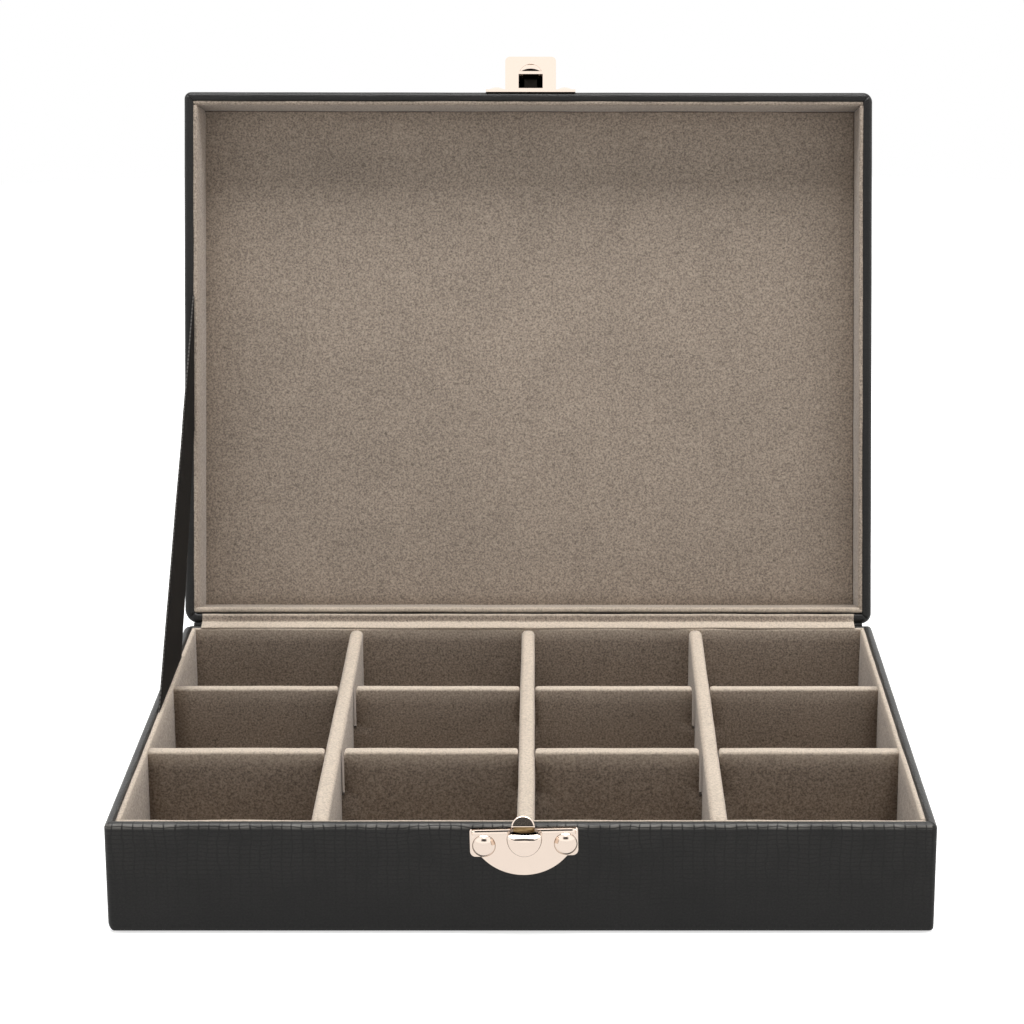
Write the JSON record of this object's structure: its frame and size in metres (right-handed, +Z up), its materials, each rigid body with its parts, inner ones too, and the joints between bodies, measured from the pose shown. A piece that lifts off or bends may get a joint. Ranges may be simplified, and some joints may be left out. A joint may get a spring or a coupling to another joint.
{
  "type": "cufflink box",
  "caption": "Open hinged box with a leatherette cover, suede-lined compartments, a padded lid, a ribbon lid stay and a sprung push latch.",
  "frame": {"origin": "the centre of the underside of the base", "axes": "+X to the right as seen from the front, +Y from the latch to the hinge, +Z up"},
  "size_m": [0.22, 0.2408, 0.2065],
  "materials": {
    "leatherette": "fine lizard-grain embossed leatherette, satin",
    "suede": "short-napped taupe suede cloth",
    "greyboard": "plain board, hidden by the cloths",
    "underside_cloth": "black felt",
    "ribbon": "black ribbed ribbon",
    "plated_metal": "polished pale rose plating",
    "spring_steel": "plain spring steel"
  },
  "bodies": {
    "base": {"base_cover": "leatherette", "hinge_cloth_base": "leatherette", "base_floor_lining": "suede", "base_lining_front": "suede", "base_lining_back": "suede", "base_lining_left": "suede", "base_lining_right": "suede", "hinge_strip_base": "suede", "long_divider_left": "suede", "long_divider_centre": "suede", "long_divider_right": "suede", "cross_divider_front": "suede", "cross_divider_rear": "suede", "base_front_board": "greyboard", "base_back_board": "greyboard", "base_left_board": "greyboard", "base_right_board": "greyboard", "base_floor_board": "greyboard", "base_underside_pad": "underside_cloth", "stay_ribbon": "ribbon", "latch_plate": "plated_metal", "latch_rivets": "plated_metal", "latch_spring": "spring_steel", "latch_pin": "spring_steel"},
    "lid": {"lid_cover": "leatherette", "lid_top_board": "greyboard", "lid_front_board": "greyboard", "lid_back_board": "greyboard", "lid_left_board": "greyboard", "lid_right_board": "greyboard", "lid_lining_front": "suede", "lid_lining_back": "suede", "lid_lining_left": "suede", "lid_lining_right": "suede", "lid_ceiling_panel": "suede", "hinge_strip_lid": "suede", "hinge_cloth_lid": "leatherette", "catch_plate": "plated_metal", "catch_rivets": "plated_metal"},
    "button": {"latch_button": "plated_metal"}
  },
  "joints": [
    {"name": "lid_hinge", "type": "hinge", "parent": "base", "child": "lid", "pos_m": [0, 0.085, 0.0313], "axis": [1, 0, 0], "range_deg": [0, 104.7], "deforming": ["stay_ribbon"]},
    {"name": "latch_press", "type": "hinge", "parent": "base", "child": "button", "pos_m": [0, -0.0847, 0.0224], "axis": [-1, 0, 0], "range_deg": [0, 8], "stiffness_Nm_per_rad": 0.004, "springref_deg": -11.46, "deforming": ["latch_spring"]}
  ]
}
